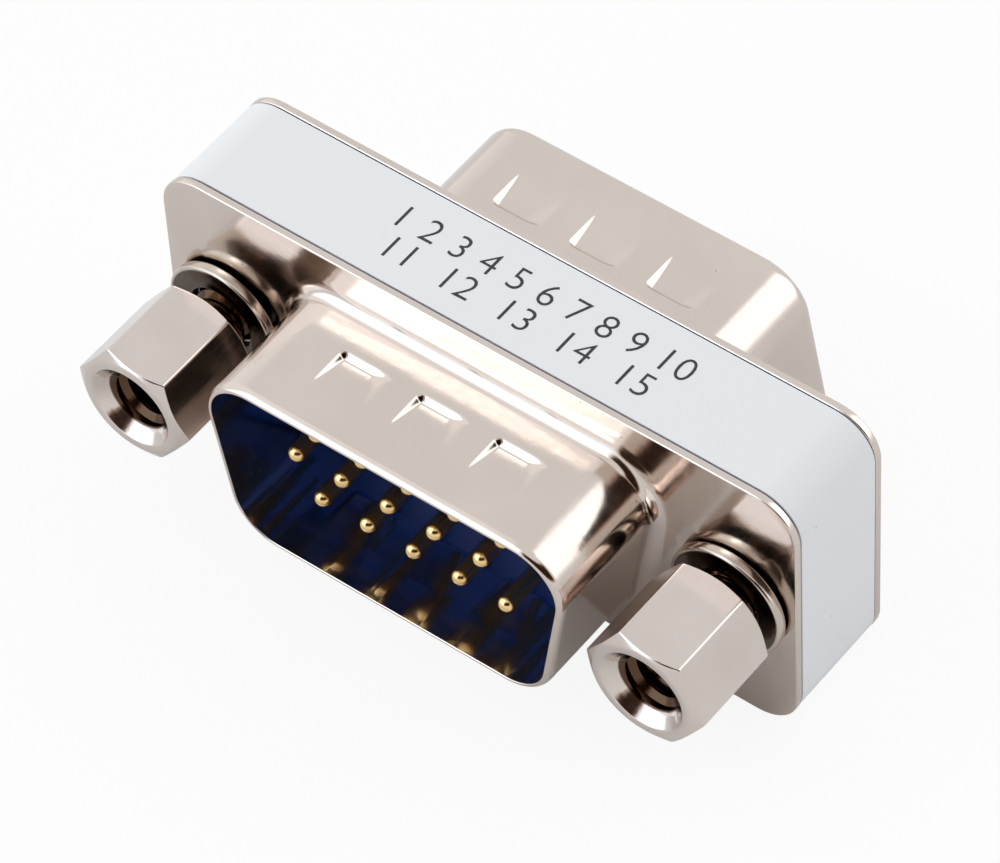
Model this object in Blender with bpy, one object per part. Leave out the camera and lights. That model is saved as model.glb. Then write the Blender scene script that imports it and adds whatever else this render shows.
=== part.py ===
"""High-density 15-pin plug to plug gender changer, in metres, +Z up, front connector facing -Y.

The origin is the middle of the underside of the whole object's bounding box. Sizes below are in
millimetres. Both connectors are described once, in side coordinates: x along the plate, `out` the
distance outward from that side's plate face, z up from the connector's centre line. The rear one is
the front one turned half a turn about the X axis, so its D has the narrow side up.
"""

import math

import bmesh
import bpy

MM = 0.001

# Drawn D shell, all at the inner face of the wall
D_WIDTH = 16.92
D_HEIGHT = 8.36
D_CORNER_RADIUS = 2.0
D_SIDE_ANGLE = 10.0
SHELL_REACH = 5.95
SHELL_WALL = 0.30
ROOT_RADIUS = 0.75
LIP_ROUND_REACH = 0.42
LIP_INNER_ROUND = 0.05

# Plates and body
FASTENER_SPACING = 24.99
FASTENER_X = FASTENER_SPACING / 2
PLATE_END = 3.005
PLATE_RIM = 1.37
PLATE_WIDTH = FASTENER_SPACING + 2 * PLATE_END
PLATE_HEIGHT = D_HEIGHT + 2 * (SHELL_WALL + ROOT_RADIUS + PLATE_RIM)
PLATE_CORNER_RADIUS = 1.95
PLATE_THICKNESS = 0.35
BODY_DEPTH = 5.65
BODY_INSET = 0.14
CONNECTOR_Z = PLATE_HEIGHT / 2

# Label band
LABEL_INSET = 0.02
LABEL_THICKNESS = 0.10
LABEL_FROM_FRONT_FACE = 0.45
LABEL_FROM_REAR_FACE = 0.43

# Grip dimples on both long sides of the D
DIMPLE_X = (-3.8, 0.0, 3.8)
DIMPLE_DEPTH = 0.25
DIMPLE_MOUTH_END = 4.15
DIMPLE_FLOOR_END = 2.12
DIMPLE_ROOT_END = 1.88
DIMPLE_OUTLINE_HALF_WIDTHS = (1.04, 1.15, 0.95)
DIMPLE_FLOOR_HALF_WIDTHS = (0.90, 0.84, 0.72)

# Contacts: 15 in three rows, the middle row staggered
PIN_RADIUS = 0.38
PIN_PITCH = 2.29
PIN_ROW_HEIGHT = 1.98
PIN_OUTER_ROWS_X = 0.20
PIN_MIDDLE_ROW_X = -0.945
PIN_FIELD_RISE = 0.15
PINS_PER_ROW = 5
PIN_TIP_BELOW_MOUTH = 1.20

# Standoffs, lock washers and threaded inserts
HEX_SIDES = 6
HEX_ACROSS_FLATS = 4.9
HEX_LENGTH = 4.7
HEX_FACE_RADIUS = 2.3
HEX_CHAMFER_ANGLE = 30.0
LEFT_HEX_FROM_WASHER = 0.95
RIGHT_HEX_FROM_WASHER = 0.57
LEFT_STANDOFF_TURN = -7.4
RIGHT_STANDOFF_TURN = -5.7
COUNTERSINK_RADIUS = 1.95
COUNTERSINK_DEPTH = 0.75
THREADED_BORE_RADIUS = 1.2
THREADED_BORE_DEPTH = 3.8
BORE_TIP_DEPTH = 0.5
STUD_RADIUS = 1.38
STUD_LENGTH = 5.0
STUD_END_CHAMFER = 0.3
PLATE_STUD_CLEARANCE = 0.22
PLATE_HOLE_RADIUS = STUD_RADIUS + PLATE_STUD_CLEARANCE
TURNING_BLANK_RADIUS = 3.0
WASHER_STUD_CLEARANCE = 0.17
WASHER_WIRE_WIDTH = 1.10
WASHER_INNER_RADIUS = STUD_RADIUS + WASHER_STUD_CLEARANCE
WASHER_OUTER_RADIUS = WASHER_INNER_RADIUS + WASHER_WIRE_WIDTH
WASHER_THICKNESS = 0.50
WASHER_EDGE_ROUND = 0.12
WASHER_RISE = 0.20
WASHER_SPLIT_ANGLE = 8.0
LEFT_WASHER_SPLIT_AT = -24.0
RIGHT_WASHER_SPLIT_AT = 215.0
INSERT_STUD_CLEARANCE = 0.04
INSERT_WALL = 0.78
INSERT_BORE_RADIUS = STUD_RADIUS + INSERT_STUD_CLEARANCE
INSERT_RADIUS = INSERT_BORE_RADIUS + INSERT_WALL

# Clearances between neighbouring pieces
SEAT_GAP = 0.02
SEAM_GAP = 0.04
NOSE_CLEARANCE = 0.04
PIN_CLEARANCE = 0.03
CONTACT_CLEARANCE = 0.03
BOARD_CLEARANCE = 0.05
INSERT_CLEARANCE = 0.05

# Insulator nose and the board between the two halves
INSULATOR_FACE_PROUD = 0.40
BOARD_END_WALL = 0.745
BOARD_EDGE_MARGIN = 2.1
BOARD_WIDTH = FASTENER_SPACING - 2 * (INSERT_RADIUS + INSERT_CLEARANCE + BOARD_END_WALL)
BOARD_HEIGHT = PLATE_HEIGHT - 2 * BOARD_EDGE_MARGIN
BOARD_THICKNESS = 0.8

# How far the standoffs' front faces stand in front of the plate
WASHER_FRONT = SEAT_GAP + WASHER_RISE + WASHER_THICKNESS
LEFT_STANDOFF_REACH = WASHER_FRONT + LEFT_HEX_FROM_WASHER + HEX_LENGTH
RIGHT_STANDOFF_REACH = WASHER_FRONT + RIGHT_HEX_FROM_WASHER + HEX_LENGTH

# Facets
D_WIDE_CORNER_FACETS = 6
D_NARROW_CORNER_FACETS = 5
ROOT_FACETS = 4
LIP_FACETS = 3
PLATE_CORNER_FACETS = 5
PLATE_HOLE_FACETS = 20
PIN_FACETS = 10
PIN_DOME_RINGS = 3
STANDOFF_FACETS = 36
WASHER_FACETS = 24
INSERT_FACETS = 20

# Where the two plate faces lie along Y
MIDDLE_Y = (max(LEFT_STANDOFF_REACH, RIGHT_STANDOFF_REACH, SHELL_REACH) - SHELL_REACH) / 2
FRONT_FACE_Y = MIDDLE_Y - BODY_DEPTH / 2
REAR_FACE_Y = MIDDLE_Y + BODY_DEPTH / 2


def front_side(x, out, z):
    """Side coordinates of the front connector, in metres."""
    return (x * MM, (FRONT_FACE_Y - out) * MM, (CONNECTOR_Z + z) * MM)


def rear_side(x, out, z):
    """Side coordinates of the rear connector, half a turn about X from the front one."""
    return (x * MM, (REAR_FACE_Y + out) * MM, (CONNECTOR_Z - z) * MM)


def arc(centre_x, centre_z, radius, start, end, facets):
    """Points of an arc, angles in degrees from +X towards +Z, both ends kept."""
    points = []
    for step in range(facets + 1):
        angle = math.radians(start + (end - start) * step / facets)
        points.append((centre_x + radius * math.cos(angle), centre_z + radius * math.sin(angle)))
    return points


def circle(centre_x, radius, facets):
    """A closed circle round a fastener axis."""
    return arc(centre_x, 0.0, radius, 0.0, 360.0, facets)[:-1]


def plate_outline(inset):
    """The plate's rounded rectangle, moved inward by the inset."""
    half_width = PLATE_WIDTH / 2 - PLATE_CORNER_RADIUS
    half_height = PLATE_HEIGHT / 2 - PLATE_CORNER_RADIUS
    radius = PLATE_CORNER_RADIUS - inset
    points = arc(half_width, half_height, radius, 90, 0, PLATE_CORNER_FACETS)
    points += arc(half_width, -half_height, radius, 0, -90, PLATE_CORNER_FACETS)
    points += arc(-half_width, -half_height, radius, -90, -180, PLATE_CORNER_FACETS)
    points += arc(-half_width, half_height, radius, 180, 90, PLATE_CORNER_FACETS)
    return points


def rectangle(width, height):
    """A plain rectangle about the centre line."""
    x = width / 2
    z = height / 2
    return [(-x, z), (x, z), (x, -z), (-x, -z)]


def d_outline(offset, side_points):
    """The D moved outward by the offset. side_points are (x, depth) along the wide top side."""
    lean = math.radians(D_SIDE_ANGLE)
    wide_corner = D_CORNER_RADIUS / math.tan(math.radians(90 - D_SIDE_ANGLE) / 2)
    narrow_corner = D_CORNER_RADIUS / math.tan(math.radians(90 + D_SIDE_ANGLE) / 2)
    widest_point = wide_corner - D_CORNER_RADIUS
    wide_x = D_WIDTH / 2 + widest_point - wide_corner
    narrow_x = D_WIDTH / 2 + widest_point - D_HEIGHT * math.tan(lean) - narrow_corner
    centre_z = D_HEIGHT / 2 - D_CORNER_RADIUS
    radius = D_CORNER_RADIUS + offset
    side_z = D_HEIGHT / 2 + offset
    wide_facets = D_WIDE_CORNER_FACETS
    narrow_facets = D_NARROW_CORNER_FACETS
    low_angle = -D_SIDE_ANGLE
    points = [(x, side_z - depth) for x, depth in side_points]
    points += arc(wide_x, centre_z, radius, 90, low_angle, wide_facets)
    points += arc(narrow_x, -centre_z, radius, low_angle, -90, narrow_facets)
    points += [(x, -side_z + depth) for x, depth in reversed(side_points)]
    points += arc(-narrow_x, -centre_z, radius, -90, -180 - low_angle, narrow_facets)
    points += arc(-wide_x, centre_z, radius, 180 - low_angle, 90, wide_facets)
    return points


def dimple_points(station):
    """Points along a long side at one station of the dimples: mouth end, floor end or root end."""
    outline = DIMPLE_OUTLINE_HALF_WIDTHS[station]
    floor = DIMPLE_FLOOR_HALF_WIDTHS[station]
    depth = DIMPLE_DEPTH if station == 1 else 0.0
    points = []
    for x in DIMPLE_X:
        points += [(x - outline, 0.0), (x - floor, depth), (x + floor, depth), (x + outline, 0.0)]
    return points


def shell_sections():
    """Loops of the drawn D from the outer foot over the lip to the inner foot: (offset, out, points)."""
    mouth_side = dimple_points(0)
    root_side = dimple_points(2)
    sections = []
    for step in range(ROOT_FACETS, -1, -1):
        angle = math.radians(90 * step / ROOT_FACETS)
        offset = SHELL_WALL + ROOT_RADIUS * (1 - math.cos(angle))
        sections.append((offset, ROOT_RADIUS * (1 - math.sin(angle)), root_side))
    sections.append((SHELL_WALL, DIMPLE_ROOT_END, root_side))
    sections.append((SHELL_WALL, DIMPLE_FLOOR_END, dimple_points(1)))
    sections.append((SHELL_WALL, DIMPLE_MOUTH_END, mouth_side))
    for step in range(LIP_FACETS + 1):
        angle = math.radians(90 * step / LIP_FACETS)
        offset = LIP_INNER_ROUND + (SHELL_WALL - LIP_INNER_ROUND) * math.cos(angle)
        out = SHELL_REACH - LIP_ROUND_REACH * (1 - math.sin(angle))
        sections.append((offset, out, mouth_side))
    sections.append((0.0, SHELL_REACH - LIP_INNER_ROUND, mouth_side))
    sections.append((0.0, DIMPLE_MOUTH_END, mouth_side))
    sections.append((0.0, DIMPLE_FLOOR_END, dimple_points(1)))
    sections.append((0.0, DIMPLE_ROOT_END, root_side))
    for step in range(ROOT_FACETS + 1):
        angle = math.radians(90 * step / ROOT_FACETS)
        offset = (SHELL_WALL + ROOT_RADIUS) * (1 - math.cos(angle))
        out = ROOT_RADIUS - (ROOT_RADIUS + PLATE_THICKNESS) * math.sin(angle)
        sections.append((offset, out, root_side))
    return sections


def add_loop(bm, side, outline, out):
    """A ring of vertices in a plane parallel to the plate."""
    return [bm.verts.new(side(x, out, z)) for x, z in outline]


def bridge(bm, first, second):
    """Quads between two rings of equal length."""
    count = len(first)
    for i in range(count):
        j = (i + 1) % count
        bm.faces.new((first[i], first[j], second[j], second[i]))


def fill(bm, rings):
    """One flat face bounded by the first ring, with the other rings as holes."""
    edges = []
    for ring in rings:
        count = len(ring)
        for i in range(count):
            pair = (ring[i], ring[(i + 1) % count])
            edges.append(bm.edges.get(pair) or bm.edges.new(pair))
    bmesh.ops.triangle_fill(bm, edges=edges, use_beauty=True, use_dissolve=False)


def add_object(name, bm, material, smooth_angle=None):
    """Turn the working mesh into a named object with one material."""
    bmesh.ops.recalc_face_normals(bm, faces=bm.faces)
    mesh = bpy.data.meshes.new(name)
    bm.to_mesh(mesh)
    bm.free()
    obj = bpy.data.objects.new(name, mesh)
    bpy.context.scene.collection.objects.link(obj)
    mesh.materials.append(material)
    if smooth_angle is not None:
        mesh.shade_smooth()
        mesh.set_sharp_from_angle(angle=math.radians(smooth_angle))
    return obj


def make_material(name, colour, roughness, metallic):
    """A plain Principled material."""
    material = bpy.data.materials.new(name)
    material.use_nodes = True
    shader = material.node_tree.nodes["Principled BSDF"]
    shader.inputs["Base Color"].default_value = (*colour, 1.0)
    shader.inputs["Roughness"].default_value = roughness
    shader.inputs["Metallic"].default_value = metallic
    return material


def build_shell(name, side, material):
    """Flange plate with the D drawn out of it in one sheet."""
    bm = bmesh.new()
    rings = []
    for offset, out, side_points in shell_sections():
        rings.append(add_loop(bm, side, d_outline(offset, side_points), out))
    for first, second in zip(rings, rings[1:]):
        bridge(bm, first, second)
    front = [add_loop(bm, side, plate_outline(0.0), 0.0)]
    back = [add_loop(bm, side, plate_outline(0.0), -PLATE_THICKNESS)]
    for x in (-FASTENER_X, FASTENER_X):
        hole = circle(x, PLATE_HOLE_RADIUS, PLATE_HOLE_FACETS)
        front.append(add_loop(bm, side, hole, 0.0))
        back.append(add_loop(bm, side, hole, -PLATE_THICKNESS))
    for first, second in zip(front, back):
        bridge(bm, first, second)
    fill(bm, front + [rings[0]])
    fill(bm, back + [rings[-1]])
    return add_object(name, bm, material, 35)


def pin_places():
    """Centres of the 15 contacts, row by row from the wide side of the D."""
    places = []
    rows = ((PIN_OUTER_ROWS_X, PIN_ROW_HEIGHT), (PIN_MIDDLE_ROW_X, 0.0), (PIN_OUTER_ROWS_X, -PIN_ROW_HEIGHT))
    for row_x, row_z in rows:
        for i in range(PINS_PER_ROW):
            x = row_x + (i - (PINS_PER_ROW - 1) / 2) * PIN_PITCH
            places.append((x, PIN_FIELD_RISE + row_z))
    return places


def turned(bm, side, centre_x, centre_z, profile, facets):
    """A closed solid turned about an axis along `out`. The profile is (radius, out) pairs."""
    rings = []
    for radius, out in profile:
        if radius == 0.0:
            rings.append([bm.verts.new(side(centre_x, out, centre_z))])
        else:
            outline = [(x, centre_z + z) for x, z in circle(centre_x, radius, facets)]
            rings.append(add_loop(bm, side, outline, out))
    for first, second in zip(rings, rings[1:]):
        if len(first) == 1 or len(second) == 1:
            apex, ring = (first[0], second) if len(first) == 1 else (second[0], first)
            for i in range(facets):
                bm.faces.new((apex, ring[i], ring[(i + 1) % facets]))
        else:
            bridge(bm, first, second)


def build_pin(name, side, place, material):
    """A round contact with a domed tip."""
    dome_centre = SHELL_REACH - PIN_TIP_BELOW_MOUTH - PIN_RADIUS
    inner_end = -(BODY_DEPTH - BOARD_THICKNESS) / 2 + CONTACT_CLEARANCE
    profile = [(0.0, inner_end), (PIN_RADIUS, inner_end), (PIN_RADIUS, dome_centre)]
    for ring in range(1, PIN_DOME_RINGS):
        angle = math.radians(90 * ring / PIN_DOME_RINGS)
        profile.append((PIN_RADIUS * math.cos(angle), dome_centre + PIN_RADIUS * math.sin(angle)))
    profile.append((0.0, dome_centre + PIN_RADIUS))
    bm = bmesh.new()
    turned(bm, side, place[0], place[1], profile, PIN_FACETS)
    return add_object(name, bm, material, 50)


def build_insulator(name, side, material):
    """Moulded half: a nose that fills the root of the D and a block behind the plate."""
    nose_face = INSULATOR_FACE_PROUD
    block_face = -(PLATE_THICKNESS + SEAT_GAP)
    seam_face = -(BODY_DEPTH - SEAM_GAP) / 2
    pocket_floor = -(BODY_DEPTH - BOARD_THICKNESS) / 2 + SEAT_GAP
    hole_radius = PIN_RADIUS + PIN_CLEARANCE
    bore_radius = INSERT_RADIUS + INSERT_CLEARANCE
    bm = bmesh.new()
    nose = d_outline(-NOSE_CLEARANCE, [])
    nose_front = add_loop(bm, side, nose, nose_face)
    nose_back = add_loop(bm, side, nose, block_face)
    bridge(bm, nose_front, nose_back)
    block_front = add_loop(bm, side, plate_outline(BODY_INSET), block_face)
    block_back = add_loop(bm, side, plate_outline(BODY_INSET), seam_face)
    bridge(bm, block_front, block_back)
    pocket = rectangle(BOARD_WIDTH + 2 * BOARD_CLEARANCE, BOARD_HEIGHT + 2 * BOARD_CLEARANCE)
    pocket_rim = add_loop(bm, side, pocket, seam_face)
    pocket_base = add_loop(bm, side, pocket, pocket_floor)
    bridge(bm, pocket_rim, pocket_base)
    block_rings = [block_front, nose_back]
    seam_rings = [block_back, pocket_rim]
    for x in (-FASTENER_X, FASTENER_X):
        bore = circle(x, bore_radius, INSERT_FACETS)
        block_rings.append(add_loop(bm, side, bore, block_face))
        seam_rings.append(add_loop(bm, side, bore, seam_face))
        bridge(bm, block_rings[-1], seam_rings[-1])
    nose_rings = [nose_front]
    floor_rings = [pocket_base]
    for place_x, place_z in pin_places():
        hole = [(x, place_z + z) for x, z in circle(place_x, hole_radius, PIN_FACETS)]
        nose_rings.append(add_loop(bm, side, hole, nose_face))
        floor_rings.append(add_loop(bm, side, hole, pocket_floor))
        bridge(bm, nose_rings[-1], floor_rings[-1])
    for rings in (nose_rings, block_rings, seam_rings, floor_rings):
        fill(bm, rings)
    return add_object(name, bm, material, 35)


def build_board(material):
    """Hidden board between the halves, where the contact rows cross over."""
    bm = bmesh.new()
    outline = rectangle(BOARD_WIDTH, BOARD_HEIGHT)
    front = add_loop(bm, front_side, outline, -(BODY_DEPTH - BOARD_THICKNESS) / 2)
    back = add_loop(bm, front_side, outline, -(BODY_DEPTH + BOARD_THICKNESS) / 2)
    bridge(bm, front, back)
    bm.faces.new(front)
    bm.faces.new(back)
    return add_object("contact_board", bm, material)


def build_label(material):
    """White band wrapped round the body between the plates."""
    bm = bmesh.new()
    rings = []
    front_out = -LABEL_FROM_FRONT_FACE
    back_out = -(BODY_DEPTH - LABEL_FROM_REAR_FACE)
    inner = LABEL_INSET + LABEL_THICKNESS
    for inset, out in ((LABEL_INSET, front_out), (LABEL_INSET, back_out), (inner, back_out), (inner, front_out)):
        rings.append(add_loop(bm, front_side, plate_outline(inset), out))
    for first, second in zip(rings, rings[1:] + rings[:1]):
        bridge(bm, first, second)
    return add_object("label_band", bm, material, 35)


def build_standoff(name, x, reach, turn, material):
    """Hex standoff: chamfered hexagon, countersunk threaded bore in front, threaded stud behind."""
    rear = reach - HEX_LENGTH
    stud_end = rear - STUD_LENGTH
    chamfer = (TURNING_BLANK_RADIUS - HEX_FACE_RADIUS) * math.tan(math.radians(HEX_CHAMFER_ANGLE))
    bore_end = reach - THREADED_BORE_DEPTH
    profile = [
        (0.0, stud_end),
        (STUD_RADIUS - STUD_END_CHAMFER, stud_end),
        (STUD_RADIUS, stud_end + STUD_END_CHAMFER),
        (STUD_RADIUS, rear),
        (HEX_FACE_RADIUS, rear),
        (TURNING_BLANK_RADIUS, rear + chamfer),
        (TURNING_BLANK_RADIUS, reach - chamfer),
        (HEX_FACE_RADIUS, reach),
        (COUNTERSINK_RADIUS, reach),
        (THREADED_BORE_RADIUS, reach - COUNTERSINK_DEPTH),
        (THREADED_BORE_RADIUS, bore_end),
        (0.0, bore_end - BORE_TIP_DEPTH),
    ]
    bm = bmesh.new()
    turned(bm, front_side, x, 0.0, profile, STANDOFF_FACETS)
    blank = add_object(name, bm, material)
    margin = HEX_FACE_RADIUS
    corner_radius = HEX_ACROSS_FLATS / 2 / math.cos(math.pi / HEX_SIDES)
    corners = arc(x, 0.0, corner_radius, turn, turn + 360, HEX_SIDES)[:-1]
    bm = bmesh.new()
    front = add_loop(bm, front_side, corners, reach + margin)
    back = add_loop(bm, front_side, corners, stud_end - margin)
    bridge(bm, front, back)
    bm.faces.new(front)
    bm.faces.new(back)
    prism = add_object(name + "_hex_cutter", bm, material)
    boolean = blank.modifiers.new("hexagon", "BOOLEAN")
    boolean.operation = "INTERSECT"
    boolean.solver = "EXACT"
    boolean.object = prism
    depsgraph = bpy.context.evaluated_depsgraph_get()
    cut_mesh = bpy.data.meshes.new_from_object(blank.evaluated_get(depsgraph))
    blank.modifiers.clear()
    blank.data = cut_mesh
    bpy.data.objects.remove(prism, do_unlink=True)
    cut_mesh.shade_smooth()
    cut_mesh.set_sharp_from_angle(angle=math.radians(25))
    return blank


def build_washer(name, x, split_at, material):
    """Split lock washer: a flat wire bent round in a slight helix, its two ends left apart."""
    edge = WASHER_EDGE_ROUND
    thick = WASHER_THICKNESS
    section = [
        (WASHER_INNER_RADIUS, edge),
        (WASHER_INNER_RADIUS, thick - edge),
        (WASHER_INNER_RADIUS + edge, thick),
        (WASHER_OUTER_RADIUS - edge, thick),
        (WASHER_OUTER_RADIUS, thick - edge),
        (WASHER_OUTER_RADIUS, edge),
        (WASHER_OUTER_RADIUS - edge, 0.0),
        (WASHER_INNER_RADIUS + edge, 0.0),
    ]
    start = split_at + WASHER_SPLIT_ANGLE / 2
    sweep = 360.0 - WASHER_SPLIT_ANGLE
    bm = bmesh.new()
    rings = []
    for step in range(WASHER_FACETS + 1):
        share = step / WASHER_FACETS
        angle = math.radians(start + sweep * share)
        lift = SEAT_GAP + WASHER_RISE * (1 - share)
        ring = []
        for radius, out in section:
            place = (x + radius * math.cos(angle), out + lift, radius * math.sin(angle))
            ring.append(bm.verts.new(front_side(*place)))
        rings.append(ring)
    for first, second in zip(rings, rings[1:]):
        bridge(bm, first, second)
    bm.faces.new(rings[0])
    bm.faces.new(rings[-1])
    return add_object(name, bm, material, 50)


def build_insert(name, x, material):
    """Internally threaded bush held between the plates."""
    front = -(PLATE_THICKNESS + SEAT_GAP)
    back = -(BODY_DEPTH - PLATE_THICKNESS - SEAT_GAP)
    bm = bmesh.new()
    rings = []
    for radius, out in (
        (INSERT_RADIUS, front),
        (INSERT_RADIUS, back),
        (INSERT_BORE_RADIUS, back),
        (INSERT_BORE_RADIUS, front),
    ):
        rings.append(add_loop(bm, front_side, circle(x, radius, INSERT_FACETS), out))
    for first, second in zip(rings, rings[1:] + rings[:1]):
        bridge(bm, first, second)
    return add_object(name, bm, material, 35)


def main():
    for obj in list(bpy.data.objects):
        bpy.data.objects.remove(obj, do_unlink=True)
    nickel = make_material("nickel_plate", (0.76, 0.71, 0.66), 0.16, 1.0)
    bright_nickel = make_material("turned_nickel", (0.78, 0.74, 0.70), 0.20, 1.0)
    spring_steel = make_material("spring_steel", (0.62, 0.57, 0.52), 0.30, 1.0)
    brass = make_material("brass", (0.72, 0.56, 0.30), 0.30, 1.0)
    gold = make_material("gold_plate", (0.86, 0.60, 0.28), 0.20, 1.0)
    blue = make_material("blue_plastic", (0.010, 0.045, 0.26), 0.35, 0.0)
    white = make_material("label_white", (0.80, 0.82, 0.85), 0.45, 0.0)
    laminate = make_material("board_laminate", (0.10, 0.22, 0.10), 0.60, 0.0)

    sides = (("front", front_side), ("rear", rear_side))
    for side_name, side in sides:
        build_shell(side_name + "_shell", side, nickel)
        build_insulator(side_name + "_insulator", side, blue)
        for number, place in enumerate(pin_places(), start=1):
            build_pin(f"{side_name}_pin_{number:02d}", side, place, gold)
    build_board(laminate)
    build_label(white)
    build_standoff("left_standoff", -FASTENER_X, LEFT_STANDOFF_REACH, LEFT_STANDOFF_TURN, bright_nickel)
    build_standoff("right_standoff", FASTENER_X, RIGHT_STANDOFF_REACH, RIGHT_STANDOFF_TURN, bright_nickel)
    build_washer("left_lock_washer", -FASTENER_X, LEFT_WASHER_SPLIT_AT, spring_steel)
    build_washer("right_lock_washer", FASTENER_X, RIGHT_WASHER_SPLIT_AT, spring_steel)
    build_insert("left_insert", -FASTENER_X, brass)
    build_insert("right_insert", FASTENER_X, brass)


main()
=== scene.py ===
import math

import bmesh
import bpy
from mathutils import Matrix, Vector


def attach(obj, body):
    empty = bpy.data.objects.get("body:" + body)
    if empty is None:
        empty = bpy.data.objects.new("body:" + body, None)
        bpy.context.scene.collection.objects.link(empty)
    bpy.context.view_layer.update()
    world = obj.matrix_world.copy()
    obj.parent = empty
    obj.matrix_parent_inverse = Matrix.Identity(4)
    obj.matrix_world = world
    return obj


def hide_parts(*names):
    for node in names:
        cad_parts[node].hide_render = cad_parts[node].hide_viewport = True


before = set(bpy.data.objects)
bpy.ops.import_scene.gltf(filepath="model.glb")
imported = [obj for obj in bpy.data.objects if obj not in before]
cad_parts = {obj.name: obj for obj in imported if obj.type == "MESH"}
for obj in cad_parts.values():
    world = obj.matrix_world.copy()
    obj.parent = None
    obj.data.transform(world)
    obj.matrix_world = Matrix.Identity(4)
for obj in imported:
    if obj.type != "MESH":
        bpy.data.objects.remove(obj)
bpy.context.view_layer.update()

# Sizes in millimetres, as in the solids but for the finer root, dimples and label edges
D_WIDTH = 16.92
D_HEIGHT = 8.36
D_CORNER_RADIUS = 2.0
D_SIDE_ANGLE = 10.0
SHELL_REACH = 5.95
SHELL_WALL = 0.30
ROOT_RADIUS = 0.75
ROOT_OUT = 0.52
LIP_ROUND_REACH = 0.42
LIP_INNER_ROUND = 0.05
FASTENER_X = 12.495
PLATE_WIDTH = 31.0
PLATE_HEIGHT = 13.2
PLATE_CORNER_RADIUS = 1.95
PLATE_THICKNESS = 0.35
PLATE_EDGE_ROUND = 0.07
PLATE_HOLE_RADIUS = 1.6
BODY_DEPTH = 5.65
BODY_INSET = 0.14
LABEL_INSET = 0.02
LABEL_THICKNESS = 0.10
LABEL_FROM_FRONT_FACE = 0.42
LABEL_FROM_REAR_FACE = 0.40
LABEL_EDGE_ROUND = 0.03
NUMBER_SIZE = 1.72
NUMBER_SPACING = 1.05
INK_THICKNESS = 0.008
INK_GAP = 0.002
DIMPLE_X = (-3.8, 0.0, 3.8)
DIMPLE_DEPTH = 0.25
DIMPLE_MOUTH_END = 4.15
DIMPLE_FLOOR_END = 2.12
DIMPLE_ROOT_END = 1.91
DIMPLE_LEFT_HALF_WIDTH = 1.06
DIMPLE_RIGHT_HALF_WIDTH = 1.40
DIMPLE_LEFT_SLOPE = 1.15
DIMPLE_RIGHT_SLOPE = 0.34
DIMPLE_SOFTNESS = 0.032
PIN_RADIUS = 0.38
PIN_PITCH = 2.29
PIN_ROW_HEIGHT = 1.98
PIN_OUTER_ROWS_X = 0.20
PIN_MIDDLE_ROW_X = -0.945
PIN_FIELD_RISE = 0.15
PIN_TIP_BELOW_MOUTH = 1.20
PIN_END_FROM_MIDDLE = 0.43
PIN_CLEARANCE = 0.03
PIN_HOLE_LEAD = 0.07
NOSE_CLEARANCE = 0.04
NOSE_EDGE_ROUND = 0.06
INSULATOR_FACE_PROUD = 0.40
HEX_ACROSS_FLATS = 4.9
HEX_LENGTH = 4.7
HEX_FACE_RADIUS = 2.3
HEX_CHAMFER_ANGLE = 30.0
LEFT_STANDOFF_REACH = 6.37
RIGHT_STANDOFF_REACH = 5.99
LEFT_STANDOFF_TURN = -7.4
RIGHT_STANDOFF_TURN = -5.7
COUNTERSINK_RADIUS = 1.95
THREAD_MAJOR_RADIUS = 1.40
THREAD_MINOR_RADIUS = 1.13
THREAD_PITCH = 0.635
THREAD_OVERLAP = 0.02
RIDGE_HALF_WIDTH = 0.46 * THREAD_PITCH
BORE_CREST_HALF_WIDTH = 0.08 * THREAD_PITCH
STUD_CREST_HALF_WIDTH = 0.06 * THREAD_PITCH
THREADED_BORE_DEPTH = 3.8
BORE_TIP_DEPTH = 0.5
STUD_RADIUS = 1.38
STUD_LENGTH = 5.0
STUD_END_CHAMFER = 0.15
WASHER_OUTER_RADIUS = 2.65
WASHER_INNER_RADIUS = 1.55
WASHER_THICKNESS = 0.50
WASHER_EDGE_ROUND = 0.13
WASHER_RISE = 0.20
WASHER_SPLIT_ANGLE = 8.0
LEFT_WASHER_SPLIT_AT = -24.0
RIGHT_WASHER_SPLIT_AT = 215.0
INSERT_RADIUS = 2.2
INSERT_BORE_RADIUS = 1.42
INSERT_BORE_LEAD = 0.15
INSERT_CHAMFER = 0.08
INSERT_CLEARANCE = 0.05
INSERT_THREAD_START = 3.55
INSERT_THREAD_CREST = 1.17
SEAT_GAP = 0.02
SEAM_GAP = 0.04

FRONT_FACE_Y = (LEFT_STANDOFF_REACH - SHELL_REACH - BODY_DEPTH) / 2
REAR_FACE_Y = FRONT_FACE_Y + BODY_DEPTH
CONNECTOR_Z = PLATE_HEIGHT / 2

# Camera fitted to the photograph, in millimetres and degrees, its focal length in photo widths
CAMERA_AZIMUTH = 40.1895
CAMERA_ELEVATION = 50.0431
CAMERA_ROLL = -3.7155
CAMERA_DISTANCE = 252.5536
CAMERA_SHIFT_ACROSS = 0.6538
CAMERA_SHIFT_UP = 4.8872
CAMERA_SHIFT_Z = -0.027
CAMERA_FOCAL_LENGTH = 6.280555
SENSOR_WIDTH = 36.0

# A connector is made facing -Y with its plate face at y = 0; the rear one is turned about X
TO_METRES = Matrix.Scale(0.001, 4)
HALF_TURN = Matrix.Rotation(math.pi, 4, "X")
FRONT = TO_METRES @ Matrix.Translation((0, FRONT_FACE_Y, CONNECTOR_Z))
REAR = TO_METRES @ Matrix.Translation((0, REAR_FACE_Y, CONNECTOR_Z)) @ HALF_TURN


def at_fastener(x, out):
    """A fastener's own axis along Y at the left or right screw place, out from the front plate."""
    return FRONT @ Matrix.Translation((x, -out, 0))


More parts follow.
